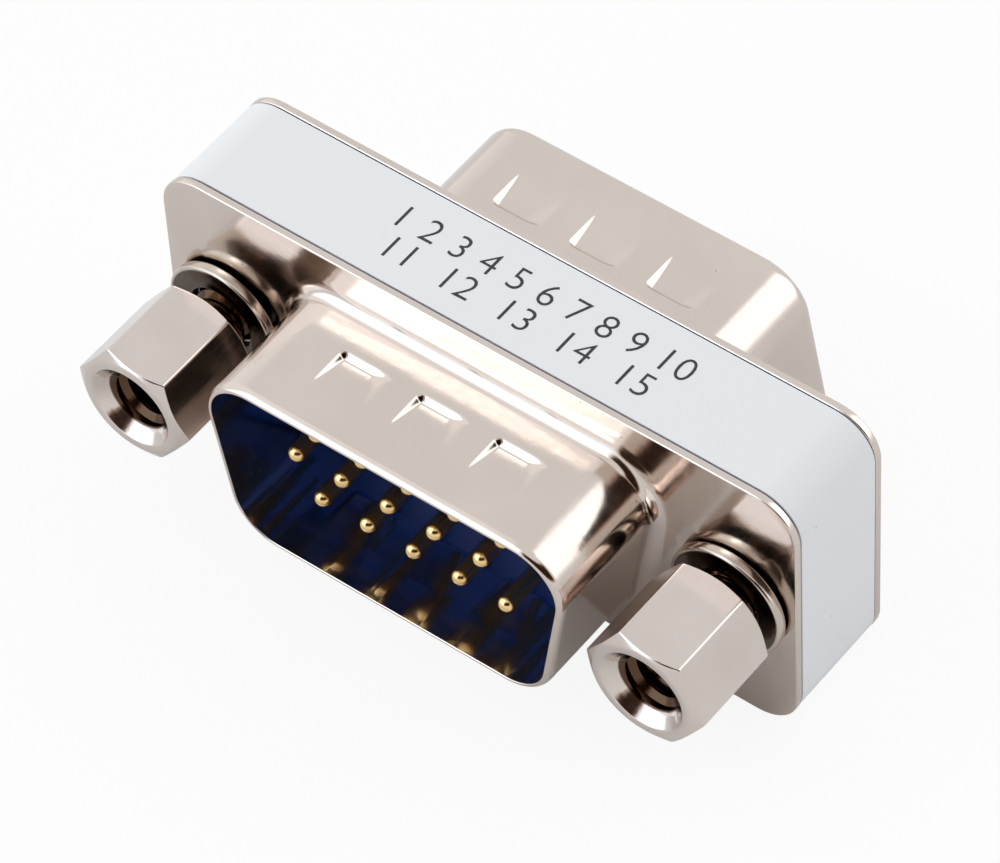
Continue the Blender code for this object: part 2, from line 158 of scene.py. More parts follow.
def towards(azimuth, elevation):
    """Unit vector away from the object. Azimuth 0 is in front (-Y), 90 is to the right (+X)."""
    a = math.radians(azimuth)
    e = math.radians(elevation)
    return Vector((math.sin(a) * math.cos(e), -math.cos(a) * math.cos(e), math.sin(e)))


# Shader maths


class Wire:
    """A shader socket that Python's arithmetic works on. Other nodes come from node()."""

    def __init__(self, tree, socket=None):
        self.tree = tree
        self.socket = socket

    def node(self, kind, settings, inputs, output=0):
        made = self.tree.nodes.new(kind)
        for name, value in settings.items():
            setattr(made, name, value)
        for name, value in inputs.items():
            if isinstance(value, Wire):
                self.tree.links.new(value.socket, made.inputs[name])
            else:
                made.inputs[name].default_value = value
        return Wire(self.tree, made.outputs[output])

    def beside(self, output):
        """Another output of the node that this wire comes from."""
        return Wire(self.tree, self.socket.node.outputs[output])

    def math(self, operation, first, second=0.0):
        return self.node("ShaderNodeMath", {"operation": operation}, {0: first, 1: second})

    def __add__(self, other):
        return self.math("ADD", self, other)

    def __radd__(self, other):
        return self.math("ADD", other, self)

    def __sub__(self, other):
        return self.math("SUBTRACT", self, other)

    def __rsub__(self, other):
        return self.math("SUBTRACT", other, self)

    def __mul__(self, other):
        return self.math("MULTIPLY", self, other)

    def above(self, low, high):
        """0 below low, 1 above high, smooth between them."""
        settings = {"interpolation_type": "SMOOTHSTEP", "clamp": True}
        values = {"Value": self, "From Min": low, "From Max": high}
        return self.node("ShaderNodeMapRange", settings, values)

    def blend(self, first, second):
        """The first colour where this value is 0 and the second where it is 1."""
        ends = {0: self, 6: first, 7: second}
        return self.node("ShaderNodeMix", {"data_type": "RGBA", "clamp_factor": True}, ends, 2)


class Finish:
    """A material with one Principled shader, and the patterns that its maps are made from."""

    def __init__(self, name, **constants):
        self.material = bpy.data.materials.new(name)
        self.material.use_nodes = True
        self.tree = self.material.node_tree
        self.shader = self.tree.nodes["Principled BSDF"]
        self.wire = Wire(self.tree)
        self.place = self.wire.node("ShaderNodeTexCoord", {}, {}, "Object")
        for name, value in constants.items():
            self.shader.inputs[name.replace("_", " ")].default_value = value

    def feed(self, name, wire):
        self.tree.links.new(wire.socket, self.shader.inputs[name])

    def mapped(self, scale):
        """The place on the piece, stretched where the scale is below 1."""
        values = {"Vector": self.place, "Scale": scale}
        return self.wire.node("ShaderNodeMapping", {"vector_type": "POINT"}, values)

    def noise(self, per_mm, detail=2.0, roughness=0.5, place=None):
        """Soft noise from 0 to 1 with that many lumps in a millimetre."""
        values = {"Vector": place or self.place, "Scale": per_mm * 1000}
        values |= {"Detail": detail, "Roughness": roughness}
        return self.wire.node("ShaderNodeTexNoise", {}, values, 0)

    def spots(self, per_mm, share, size):
        """1 in round spots, in that share of the cells; size is the spot's radius in cells."""
        values = {"Vector": self.place, "Scale": per_mm * 1000}
        distance = self.wire.node("ShaderNodeTexVoronoi", {}, values, "Distance")
        cell = self.wire.node("ShaderNodeTexVoronoi", {}, values, "Color")
        pick = self.wire.node("ShaderNodeSeparateColor", {}, {0: cell}, 0)
        picked = pick.above(1 - share - 0.001, 1 - share + 0.001)
        return (1 - distance.above(size * 0.6, size)) * picked

    def near_fastener(self, radius, blur):
        """1 within that radius of either fastener's axis, in millimetres."""
        x = self.wire.node("ShaderNodeSeparateXYZ", {}, {0: self.place}, 0)
        sideways = self.wire.math("ABSOLUTE", x) - FASTENER_X / 1000
        upwards = x.beside(2) - CONNECTOR_Z / 1000
        away = self.wire.math("SQRT", sideways * sideways + upwards * upwards)
        return 1 - away.above(radius / 1000, (radius + blur) / 1000)

    def dimple_rust(self):
        """Small ragged rust spots in one corner of each upper front dimple."""
        ragged = (self.noise(9.0, 3.0) - 0.5) * 0.00016
        total = 0.0
        for x in DIMPLE_X:
            corner = (x - 0.86, FRONT_FACE_Y - 2.03, CONNECTOR_Z + D_HEIGHT / 2 + SHELL_WALL - 0.08)
            middle = tuple(c / 1000 for c in corner)
            measure = {"operation": "DISTANCE"}
            away = self.wire.node("ShaderNodeVectorMath", measure, {0: self.place, 1: middle}, 1)
            total = (1 - (away + ragged).above(0.00009, 0.00017)) + total
        return total

    def bump(self, height, depth_mm):
        values = {"Height": height, "Distance": depth_mm / 1000, "Strength": 1.0}
        self.feed("Normal", self.wire.node("ShaderNodeBump", {}, values))


def sheet_nickel():
    """Bright nickel on drawn sheet: slight orange peel, cloudy gloss, brown pits, rub marks."""
    f = Finish("sheet_nickel", Metallic=1.0)
    cloud = f.noise(0.25, 4.0)
    peel = f.noise(2.2, 3.0)
    grain = f.noise(14.0, 3.0, 0.6)
    streak = f.noise(1.5, 3.0, 0.6, f.mapped((0.25, 1.0, 1.0))).above(0.45, 0.8)
    pits = f.spots(2.6, 0.07, 0.13) * f.noise(0.35, 2.0).above(0.45, 0.6)
    clean = cloud.above(0.35, 0.7).blend((0.680, 0.584, 0.522, 1), (0.710, 0.611, 0.549, 1))
    marks = pits * 0.75 + f.dimple_rust() * 0.9
    f.feed("Base Color", marks.blend(clean, (0.13, 0.055, 0.028, 1)))
    f.feed("Roughness", 0.085 + cloud * 0.05 + streak * 0.05 + grain * 0.04 + pits * 0.25)
    f.bump(peel * 0.8 + grain * 0.13 - pits * 0.6, 0.004)
    return f.material


def turned_nickel():
    """Nickel on turned and milled bar: fine lines along it, a few nicks, and painted shade in the
    bore and on the stud and their threads.
    """
    f = Finish("turned_nickel_plate", Metallic=1.0)
    cloud = f.noise(0.5, 3.0)
    grain = f.noise(16.0, 3.0, 0.6)
    drawn = f.noise(9.0, 2.0, 0.6, f.mapped((1.0, 0.06, 1.0)))
    nicks = f.spots(1.3, 0.07, 0.12)
    clean = cloud.above(0.3, 0.75).blend((0.670, 0.580, 0.530, 1), (0.705, 0.612, 0.562, 1))
    marked = (nicks * 0.5).blend(clean, (0.25, 0.14, 0.08, 1))
    # Painted shade: the bore, the stud and their threads sit deep in the hexagon and in the dark
    # gap behind it, so they are painted dark brown.
    painted_shade_threads = f.near_fastener(THREAD_MAJOR_RADIUS + 0.03, 0.06).blend(marked, (0.10, 0.056, 0.034, 1))
    f.feed("Base Color", painted_shade_threads)
    f.feed("Roughness", 0.10 + cloud * 0.06 + drawn.above(0.4, 0.8) * 0.06 + nicks * 0.2)
    f.bump(drawn * 0.5 + grain * 0.15 - nicks * 0.5, 0.003)
    return f.material


def washer_steel():
    """Plated spring steel, its faces painted dark as painted shade from the gap under the hexagon,
    only the outer edge left in the plain plated colour.
    """
    f = Finish("washer_steel", Metallic=1.0)
    cloud = f.noise(0.8, 3.0)
    grain = f.noise(12.0, 3.0, 0.6)
    bright = cloud.above(0.3, 0.7).blend((0.56, 0.47, 0.40, 1), (0.62, 0.54, 0.47, 1))
    # Painted shade: the faces inside the outer edge, in the gap between the plate and the hexagon,
    # are painted dark.
    face = f.near_fastener(WASHER_OUTER_RADIUS - 0.20, 0.10)
    f.feed("Base Color", (face * (0.78 + grain * 0.22)).blend(bright, (0.045, 0.024, 0.014, 1)))
    f.feed("Roughness", 0.13 + cloud * 0.08 + grain * 0.05)
    f.bump(grain * 0.5, 0.003)
    return f.material


def contact_gold():
    """Thin gold plate, with a warmer worn patch here and there."""
    f = Finish("contact_gold", Metallic=1.0)
    cloud = f.noise(1.2, 3.0)
    grain = f.noise(20.0, 2.0)
    worn = cloud.above(0.35, 0.7)
    f.feed("Base Color", worn.blend((0.93, 0.68, 0.33, 1), (0.86, 0.58, 0.27, 1)))
    f.feed("Roughness", 0.12 + cloud * 0.10 + grain * 0.04)
    f.bump(grain * 0.4, 0.002)
    return f.material


def insert_brass():
    """Turned brass with a dull brown bloom."""
    f = Finish("insert_brass", Metallic=1.0)
    cloud = f.noise(0.9, 4.0)
    grain = f.noise(15.0, 2.0)
    bloom = cloud.above(0.35, 0.75)
    f.feed("Base Color", bloom.blend((0.74, 0.56, 0.29, 1), (0.52, 0.36, 0.17, 1)))
    f.feed("Roughness", 0.22 + cloud * 0.18)
    f.bump(grain * 0.4, 0.003)
    return f.material


def blue_moulding():
    """Deep blue thermoplastic with a fine moulded grain."""
    f = Finish("blue_moulding", IOR=1.53, Specular_IOR_Level=0.06)
    cloud = f.noise(0.6, 3.0)
    grain = f.noise(11.0, 3.0, 0.6)
    f.feed("Base Color", cloud.blend((0.002, 0.030, 0.23, 1), (0.003, 0.044, 0.31, 1)))
    f.feed("Roughness", 0.30 + grain * 0.16)
    f.bump(grain, 0.004)
    return f.material


def label_film():
    """White film, slightly bluish, satin, with a faint waviness and a few specks of dust."""
    f = Finish("label_film_white", IOR=1.48)
    cloud = f.noise(0.12, 3.0)
    grain = f.noise(9.0, 3.0, 0.6)
    dust = f.spots(0.45, 0.05, 0.035)
    clean = cloud.blend((0.780, 0.805, 0.835, 1), (0.805, 0.828, 0.855, 1))
    f.feed("Base Color", (dust * 0.6).blend(clean, (0.45, 0.48, 0.55, 1)))
    f.feed("Roughness", 0.42 + cloud * 0.10 + grain * 0.05)
    f.bump(cloud * 2.0 + grain * 0.12, 0.006)
    return f.material


def label_ink():
    """Thin dark grey ink, a little uneven."""
    f = Finish("label_ink_grey", IOR=1.48)
    cover = f.noise(7.0, 3.0, 0.6)
    thin = cover.above(0.3, 0.8)
    f.feed("Base Color", thin.blend((0.018, 0.018, 0.022, 1), (0.050, 0.050, 0.058, 1)))
    f.feed("Roughness", 0.45 + cover * 0.15)
    return f.material


def board_laminate():
    """Green laminate with the weave of the glass cloth showing through."""
    f = Finish("board_laminate_green", IOR=1.5)
    values = {"Vector": f.place, "Scale": 700.0}
    across = f.wire.node("ShaderNodeTexWave", {"bands_direction": "X"}, values, 1)
    along = f.wire.node("ShaderNodeTexWave", {"bands_direction": "Z"}, values, 1)
    weave = across * along
    f.feed("Base Color", weave.blend((0.035, 0.13, 0.045, 1), (0.06, 0.20, 0.07, 1)))
    f.feed("Roughness", 0.38 + weave * 0.15)
    f.bump(weave, 0.004)
    return f.material


# Modelling helpers


def ring(bm, arcs, y):
    """Closed ring of edges across Y. Each arc is (x, z, radius, from angle, to angle, steps)."""
    before = len(bm.edges)
    ends = []
    for x, z, radius, start, end, steps in arcs:
        angle = math.radians(start)
        first = bm.verts.new((x + radius * math.cos(angle), y, z + radius * math.sin(angle)))
        turn = math.radians(end - start)
        spun = bmesh.ops.spin(bm, geom=[first], cent=(x, y, z), axis=(0, -1, 0),
                              angle=turn, steps=steps)
        last = [v for v in spun["geom_last"] if isinstance(v, bmesh.types.BMVert)][0]
        ends.append((first, last))
    for i, (first, last) in enumerate(ends):
        bm.edges.new((last, ends[(i + 1) % len(ends)][0]))
    return list(bm.edges)[before:]


def circle(bm, x, z, radius, y, steps):
    """Closed circle of edges across Y."""
    before = len(bm.edges)
    place = Matrix.Translation((x, y, z)) @ Matrix.Rotation(math.radians(90), 4, "X")
    bmesh.ops.create_circle(bm, cap_ends=False, radius=radius, segments=steps, matrix=place)
    return list(bm.edges)[before:]


def loft(bm, rings):
    for first, second in zip(rings, rings[1:]):
        bmesh.ops.bridge_loops(bm, edges=first + second)


def flat_fill(bm, *rings):
    """A flat face inside the first ring, with the other rings as holes."""
    edges = [e for one in rings for e in one]
    bmesh.ops.triangle_fill(bm, edges=edges, use_beauty=True, use_dissolve=False)


def d_arcs(offset, steps=14):
    """The D moved outward by the offset, wide side up."""
    lean = math.radians(D_SIDE_ANGLE)
    wide = D_CORNER_RADIUS / math.tan(math.radians(90 - D_SIDE_ANGLE) / 2)
    narrow = D_CORNER_RADIUS / math.tan(math.radians(90 + D_SIDE_ANGLE) / 2)
    sharp_x = D_WIDTH / 2 + wide - D_CORNER_RADIUS
    wide_x = sharp_x - wide
    narrow_x = sharp_x - D_HEIGHT * math.tan(lean) - narrow
    z = D_HEIGHT / 2 - D_CORNER_RADIUS
    radius = D_CORNER_RADIUS + offset
    low = -D_SIDE_ANGLE
    return [
        (wide_x, z, radius, 90, low, steps),
        (narrow_x, -z, radius, low, -90, steps),
        (-narrow_x, -z, radius, -90, -180 - low, steps),
        (-wide_x, z, radius, 180 - low, 90, steps),
    ]


def plate_arcs(inset, steps=10):
    """The plate's rounded rectangle, moved inward by the inset."""
    x = PLATE_WIDTH / 2 - PLATE_CORNER_RADIUS
    z = PLATE_HEIGHT / 2 - PLATE_CORNER_RADIUS
    radius = PLATE_CORNER_RADIUS - inset
    return [
        (x, z, radius, 90, 0, steps),
        (x, -z, radius, 0, -90, steps),
        (-x, -z, radius, -90, -180, steps),
        (-x, z, radius, 180, 90, steps),
    ]


def lathe(bm, profile, steps):
    """A profile of (radius, y) turned about the Y axis and closed."""
    verts = [bm.verts.new((radius, y, 0)) for radius, y in profile]
    edges = [bm.edges.new(pair) for pair in zip(verts, verts[1:])]
    bmesh.ops.spin(bm, geom=verts + edges, cent=(0, 0, 0), axis=(0, 1, 0),
                   angle=2 * math.pi, steps=steps, use_merge=True)
    bmesh.ops.remove_doubles(bm, verts=bm.verts, dist=1e-5)


def coil(bm, section, start, turns, rise, steps):
    """A face of (radius, y) points wound about the Y axis, rising along Y by `rise` each turn."""
    verts = []
    for radius, y in section:
        verts.append(bm.verts.new((radius * math.cos(start), y, -radius * math.sin(start))))
    face = bm.faces.new(verts)
    count = round(steps * turns)
    step_rise = (0, rise * turns / count, 0)
    bmesh.ops.spin(bm, geom=[face], cent=(0, 0, 0), axis=(0, 1, 0), dvec=step_rise,
                   angle=2 * math.pi * turns, steps=count)


def quarter(radius, count):
    """Sine and cosine steps of a quarter round, as (across, along) from 0 to the radius."""
    angles = [math.pi / 2 * i / count for i in range(count + 1)]
    return [(radius * math.sin(a), radius * math.cos(a)) for a in angles]


def place_piece(name, bm, place, material, stands_for=(), sharp=30, weighted=False):
    """Finish a working mesh in its place, as a named piece of the object."""
    bm.transform(place)
    bmesh.ops.recalc_face_normals(bm, faces=bm.faces)
    mesh = bpy.data.meshes.new(name)
    bm.to_mesh(mesh)
    bm.free()
    mesh.materials.append(material)
    mesh.shade_smooth()
    mesh.set_sharp_from_angle(angle=math.radians(sharp))
    piece = bpy.data.objects.new(name, mesh)
    bpy.context.scene.collection.objects.link(piece)
    if weighted:
        normals = piece.modifiers.new("flat_faces_lead", "WEIGHTED_NORMAL")
        normals.keep_sharp = True
    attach(piece, "root")
    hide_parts(*stands_for)
    return piece


# Drawn shells


def soft_min(values, softness):
    """Smallest of the values, with the change from one to another rounded over."""
    low = min(values)
    return low - softness * math.log(sum(math.exp((low - v) / softness) for v in values))


def dimple_depth(x, out):
    """How deep the pressed dimples are at a place on the long side."""
    beside = min((x - centre for centre in DIMPLE_X), key=abs)
    ramp = DIMPLE_DEPTH * (DIMPLE_MOUTH_END - out) / (DIMPLE_MOUTH_END - DIMPLE_FLOOR_END)
    root_wall = DIMPLE_DEPTH * (out - DIMPLE_ROOT_END) / (DIMPLE_FLOOR_END - DIMPLE_ROOT_END)
    left_wall = (DIMPLE_LEFT_HALF_WIDTH + beside) * DIMPLE_LEFT_SLOPE
    right_wall = (DIMPLE_RIGHT_HALF_WIDTH - beside) * DIMPLE_RIGHT_SLOPE
    full = DIMPLE_DEPTH + 0.05
    walls = full - math.hypot(max(full - min(left_wall, right_wall), 0), max(full - root_wall, 0))
    depth = soft_min((ramp, walls), DIMPLE_SOFTNESS) / DIMPLE_SOFTNESS
    return DIMPLE_SOFTNESS * math.log(1 + math.exp(min(depth, 60)))


def evenly(first, gap, count):
    return [first + gap * i for i in range(count)]


def cut_across(bm, faces, point, normal):
    """Cut those faces, with their edges and corners, by a plane."""
    geom = set(faces)
    for f in faces:
        geom.update(f.edges)
        geom.update(f.verts)
    bmesh.ops.bisect_plane(bm, geom=list(geom), dist=1e-6, plane_co=point, plane_no=normal)


def press_dimples(bm):
    """Cut a fine grid into the long sides of the D and press the dimples into it."""
    for centre in DIMPLE_X:
        for x in evenly(centre - 1.30, 0.045, 16) + evenly(centre + 0.50, 0.06, 17):
            level = [f for f in bm.faces if abs(f.normal.x) < 0.02]
            cut_across(bm, level, (x, 0, 0), (1, 0, 0))
    for out in evenly(1.70, 0.04, 17) + evenly(2.52, 0.15, 13):
        walls = [f for f in bm.faces if abs(f.normal.z) > 0.98]
        walls = [f for f in walls if 1.0 < -f.calc_center_median().y < 5.5]
        cut_across(bm, walls, (0, -out, 0), (0, 1, 0))
    for v in bm.verts:
        out = -v.co.y
        on_wall = abs(v.co.z) > D_HEIGHT / 2 - 1e-4 and 1.7 < out < 4.4
        if on_wall and abs(v.co.x) < DIMPLE_X[-1] + 1.5:
            v.co.z -= math.copysign(dimple_depth(v.co.x, out), v.co.z)


def drawn_shell():
    """Plate and D in one sheet: foot, root radius, wall, lip, inner wall, inner flare."""
    bm = bmesh.new()
    sections = []
    for across, along in quarter(1.0, 8):
        offset = SHELL_WALL + ROOT_RADIUS * (1 - across)
        sections.append((offset, ROOT_OUT * (1 - along)))
    lip_start = SHELL_REACH - LIP_ROUND_REACH
    # Rings close to both rounds keep the reflections on the wall straight
    for out in (ROOT_OUT + 0.05, ROOT_OUT + 0.30, lip_start - 0.30, lip_start - 0.05):
        sections.append((SHELL_WALL, out))
    lip = SHELL_WALL - LIP_INNER_ROUND
    for across, along in quarter(1.0, 10):
        out = SHELL_REACH - LIP_ROUND_REACH * (1 - across)
        sections.append((LIP_INNER_ROUND + lip * along, out))
    for across, along in quarter(LIP_INNER_ROUND, 4)[1:]:
        sections.append((LIP_INNER_ROUND - across, SHELL_REACH - LIP_INNER_ROUND + along))
    for along, across in quarter(1.0, 8):
        offset = (SHELL_WALL + ROOT_RADIUS) * (1 - across)
        sections.append((offset, ROOT_RADIUS - (ROOT_RADIUS + PLATE_THICKNESS) * along))
    rings = [ring(bm, d_arcs(offset), -out) for offset, out in sections]
    loft(bm, rings)
    bm.normal_update()
    press_dimples(bm)
    open_edges = [e for e in bm.edges if e.is_boundary]
    foot = [e for e in open_edges if e.verts[0].co.y < PLATE_THICKNESS / 2]
    flare = [e for e in open_edges if e.verts[0].co.y > PLATE_THICKNESS / 2]
    rim = []
    for across, along in quarter(PLATE_EDGE_ROUND, 4):
        rim.append(ring(bm, plate_arcs(PLATE_EDGE_ROUND - across), PLATE_EDGE_ROUND - along))
    for along, across in quarter(PLATE_EDGE_ROUND, 4):
        y = PLATE_THICKNESS - PLATE_EDGE_ROUND + along
        rim.append(ring(bm, plate_arcs(PLATE_EDGE_ROUND - across), y))
    loft(bm, rim)
    front_rings = [rim[0], foot]
    back_rings = [rim[-1], flare]
    for x in (-FASTENER_X, FASTENER_X):
        hole = []
        for across, along in quarter(PLATE_EDGE_ROUND, 3):
            radius = PLATE_HOLE_RADIUS + PLATE_EDGE_ROUND - across
            hole.append(circle(bm, x, 0, radius, PLATE_EDGE_ROUND - along, 48))
        hole.append(circle(bm, x, 0, PLATE_HOLE_RADIUS, PLATE_THICKNESS, 48))
        loft(bm, hole)
        front_rings.append(hole[0])
        back_rings.append(hole[-1])
    flat_fill(bm, *front_rings)
    flat_fill(bm, *back_rings)
    return bm


# Insulator, contacts, board and label


def contact_places():
    """Places (x, z) of the contacts, row by row from the top."""
    heights = (PIN_ROW_HEIGHT, 0.0, -PIN_ROW_HEIGHT)
    rows = zip((PIN_OUTER_ROWS_X, PIN_MIDDLE_ROW_X, PIN_OUTER_ROWS_X), heights)
    return [(x + i * PIN_PITCH, PIN_FIELD_RISE + z) for x, z in rows for i in range(-2, 3)]


def insulator():
    """Nose with round contact holes, and the block behind the plate."""
    bm = bmesh.new()
    face = -INSULATOR_FACE_PROUD
    block = PLATE_THICKNESS + SEAT_GAP
    seam = (BODY_DEPTH - SEAM_GAP) / 2
    nose = [
        ring(bm, d_arcs(-NOSE_CLEARANCE - NOSE_EDGE_ROUND), face),
        ring(bm, d_arcs(-NOSE_CLEARANCE), face + NOSE_EDGE_ROUND),
        ring(bm, d_arcs(-NOSE_CLEARANCE), block),
    ]
    loft(bm, nose)
    body = [ring(bm, plate_arcs(BODY_INSET), block), ring(bm, plate_arcs(BODY_INSET), seam)]
    loft(bm, body)
    face_rings = [nose[0]]
    block_rings = [body[0], nose[-1]]
    seam_rings = [body[-1]]
    for x in (-FASTENER_X, FASTENER_X):
        bore = [circle(bm, x, 0, INSERT_RADIUS + INSERT_CLEARANCE, y, 40) for y in (block, seam)]
        loft(bm, bore)
        block_rings.append(bore[0])
        seam_rings.append(bore[-1])
    radius = PIN_RADIUS + PIN_CLEARANCE
    for x, z in contact_places():
        hole = [
            circle(bm, x, z, radius + PIN_HOLE_LEAD, face, 24),
            circle(bm, x, z, radius, face + PIN_HOLE_LEAD, 24),
            circle(bm, x, z, radius, seam, 24),
        ]
        loft(bm, hole)
        face_rings.append(hole[0])
        seam_rings.append(hole[-1])
    flat_fill(bm, *face_rings)
    flat_fill(bm, *block_rings)
    flat_fill(bm, *seam_rings)
    return bm


def contact():
    """Round contact with a domed tip, its tip towards -Y."""
    bm = bmesh.new()
    tip = -(SHELL_REACH - PIN_TIP_BELOW_MOUTH)
    end = BODY_DEPTH / 2 - PIN_END_FROM_MIDDLE
    profile = [(0.0, end), (PIN_RADIUS, end), (PIN_RADIUS, -INSULATOR_FACE_PROUD)]
    for across, along in quarter(PIN_RADIUS, 8):
        profile.append((along, tip + PIN_RADIUS - across))
    lathe(bm, profile, 28)
    return bm


def label_band():
    """Film band round the body, its cut edges slightly rounded."""
    bm = bmesh.new()
    front = LABEL_FROM_FRONT_FACE
    back = BODY_DEPTH - LABEL_FROM_REAR_FACE
    edge = LABEL_EDGE_ROUND
    inner = LABEL_INSET + LABEL_THICKNESS
    rings = []
    for inset, y in (
        (inner, front + 0.002),
        (LABEL_INSET + edge, front),
        (LABEL_INSET + edge * 0.3, front + edge * 0.3),
        (LABEL_INSET, front + edge),
        (LABEL_INSET, back - edge),
        (LABEL_INSET + edge * 0.3, back - edge * 0.3),
        (LABEL_INSET + edge, back),
        (inner, back - 0.002),
    ):
        rings.append(ring(bm, plate_arcs(inset, 14), y))
    loft(bm, rings + rings[:1])
    return bm


def printed_numbers(name, text):
    """A line of plain contact numbers as raised ink, in the XY plane."""
    curve = bpy.data.curves.new(name, "FONT")
    curve.body = text
    curve.size = NUMBER_SIZE
    curve.align_x = "CENTER"
    curve.align_y = "CENTER"
    curve.space_character = NUMBER_SPACING
    curve.offset = -0.012 * NUMBER_SIZE
    curve.resolution_u = 4
    lettering = bpy.data.objects.new(name + "_curve", curve)
    bpy.context.scene.collection.objects.link(lettering)
    graph = bpy.context.evaluated_depsgraph_get()
    flat = bpy.data.meshes.new_from_object(lettering.evaluated_get(graph))
    bpy.data.objects.remove(lettering)
    bm = bmesh.new()
    bm.from_mesh(flat)
    bpy.data.meshes.remove(flat)
    bmesh.ops.remove_doubles(bm, verts=bm.verts, dist=1e-5)
    raised = bmesh.ops.extrude_face_region(bm, geom=bm.faces[:])
    top = [v for v in raised["geom"] if isinstance(v, bmesh.types.BMVert)]
    bmesh.ops.translate(bm, verts=top, vec=(0, 0, INK_THICKNESS))
    return bm


# Standoffs, washers and inserts


def hex_angles():
    """Angles round a hexagon, close together at its corners."""
    steps = (0.0, 0.5, 1.0, 1.6, 2.3, 3.2, 4.5, 6.5, 9.0, 12.0, 15.5, 19.0, 22.5, 26.0)
    angles = []
    for corner in range(6):
        base = corner * 60.0
        angles += [base + s for s in steps]
        angles.append(base + 30.0)
        angles += [base + 60.0 - s for s in reversed(steps[1:])]
    return angles


def hex_ring(bm, y, turned_radius, turn):
    """A circle of vertices pulled in to the hexagon and the turned profile, its corners rounded."""
    angles = hex_angles()
    before = len(bm.verts)
    edges = circle(bm, 0, 0, 1.0, y, len(angles))
    verts = list(bm.verts)[before:]
    half = HEX_ACROSS_FLATS / 2
    for v, degrees in zip(verts, angles):
        flats = []
        for flat in (30.0, 90.0, 150.0, 210.0, 270.0, 330.0):
            facing = math.cos(math.radians(degrees - flat))
            if facing > 0.3:
                flats.append(half / facing)
        radius = soft_min([soft_min(flats, 0.030)] + [turned_radius], 0.018)
        angle = math.radians(degrees + turn)
        v.co = (radius * math.cos(angle), y, radius * math.sin(angle))
    return edges


def standoff(turn):
    """Hexagon with turned chamfers, a countersunk bore in front and the stud's core behind.
    Its front face is at y = 0."""
    bm = bmesh.new()
    slope = math.tan(math.radians(HEX_CHAMFER_ANGLE))
    chamfer = []
    for i in range(15):
        radius = HEX_FACE_RADIUS - 0.02 + i * 0.045
        chamfer.append((radius, max(0.003, (radius - HEX_FACE_RADIUS) * slope)))
    countersink_end = COUNTERSINK_RADIUS - THREAD_MAJOR_RADIUS
    bore_end = THREADED_BORE_DEPTH
    sections = [
        (0.02, bore_end + BORE_TIP_DEPTH),
        (THREAD_MAJOR_RADIUS, bore_end),
        (THREAD_MAJOR_RADIUS, countersink_end + 0.03),
        (THREAD_MAJOR_RADIUS + 0.02, countersink_end),
        (COUNTERSINK_RADIUS - 0.03, 0.05),
        (COUNTERSINK_RADIUS, 0.02),
        (COUNTERSINK_RADIUS + 0.04, 0.004),
        (HEX_FACE_RADIUS - 0.12, 0.0),
    ]
    sections += chamfer
    past_corners = HEX_ACROSS_FLATS
    flats_start = chamfer[-1][1] + 0.1
    sections += [(past_corners, flats_start), (past_corners, HEX_LENGTH - flats_start)]
    sections += [(radius, HEX_LENGTH - depth) for radius, depth in reversed(chamfer)]
    stud_end = HEX_LENGTH + STUD_LENGTH
    sections += [
        (STUD_RADIUS - 0.17, HEX_LENGTH + 0.003),
        (THREAD_MINOR_RADIUS, HEX_LENGTH + 0.06),
        (THREAD_MINOR_RADIUS, stud_end - STUD_END_CHAMFER),
        (THREAD_MINOR_RADIUS - STUD_END_CHAMFER, stud_end - 0.003),
        (0.02, stud_end),
    ]
    rings = [hex_ring(bm, y, radius, turn) for radius, y in sections]
    loft(bm, rings)
    for end in (rings[0], rings[-1]):
        bmesh.ops.holes_fill(bm, edges=end)
    return bm


def ridge(root, crest, start, crest_half_width):
    """Section of a thread's ridge as (radius, y) points: root, two sides of the crest, root."""
    middle = start + RIDGE_HALF_WIDTH
    return [
        (root, start),
        (crest, middle - crest_half_width),
        (crest, middle + crest_half_width),
        (root, start + 2 * RIDGE_HALF_WIDTH),
    ]


def bore_thread():
    """Ridge of the thread in the standoff's bore, cut back by the countersink."""
    bm = bmesh.new()
    root = THREAD_MAJOR_RADIUS + THREAD_OVERLAP
    section = ridge(root, THREAD_MINOR_RADIUS, 0.10, BORE_CREST_HALF_WIDTH)
    coil(bm, section, 0.6, 4.6, THREAD_PITCH, 40)
    for v in bm.verts:
        radius = math.hypot(v.co.x, v.co.z)
        cone = COUNTERSINK_RADIUS - v.co.y + THREAD_OVERLAP
        if cone > radius:
            v.co.x *= cone / radius
            v.co.z *= cone / radius
    return bm


def stud_thread():
    """Ridge of the thread on the stud's core."""
    bm = bmesh.new()
    root = THREAD_MINOR_RADIUS - THREAD_OVERLAP
    section = ridge(root, STUD_RADIUS, HEX_LENGTH + 0.10, STUD_CREST_HALF_WIDTH)
    coil(bm, section, 2.1, 6.9, THREAD_PITCH, 40)
    return bm


def spring_washer(split_at):
    """Flat wire bent round once in a slight helix, which rises from the plate's face at y = 0."""
    bm = bmesh.new()
    soft = WASHER_EDGE_ROUND
    thick = WASHER_THICKNESS
    section = []
    for radius, y, start in (
        (WASHER_INNER_RADIUS + soft, -soft, 90),
        (WASHER_OUTER_RADIUS - soft, -soft, 0),
        (WASHER_OUTER_RADIUS - soft, -thick + soft, -90),
        (WASHER_INNER_RADIUS + soft, -thick + soft, -180),
    ):
        for i in range(5):
            angle = math.radians(start + 90 - 22.5 * i)
            section.append((radius + soft * math.cos(angle), y + soft * math.sin(angle)))
    turns = (360.0 - WASHER_SPLIT_ANGLE) / 360.0
    start = -math.radians(split_at - WASHER_SPLIT_ANGLE / 2)
    coil(bm, section, start, turns, -WASHER_RISE, 96)
    bmesh.ops.translate(bm, verts=bm.verts, vec=(0, -SEAT_GAP, 0))
    return bm


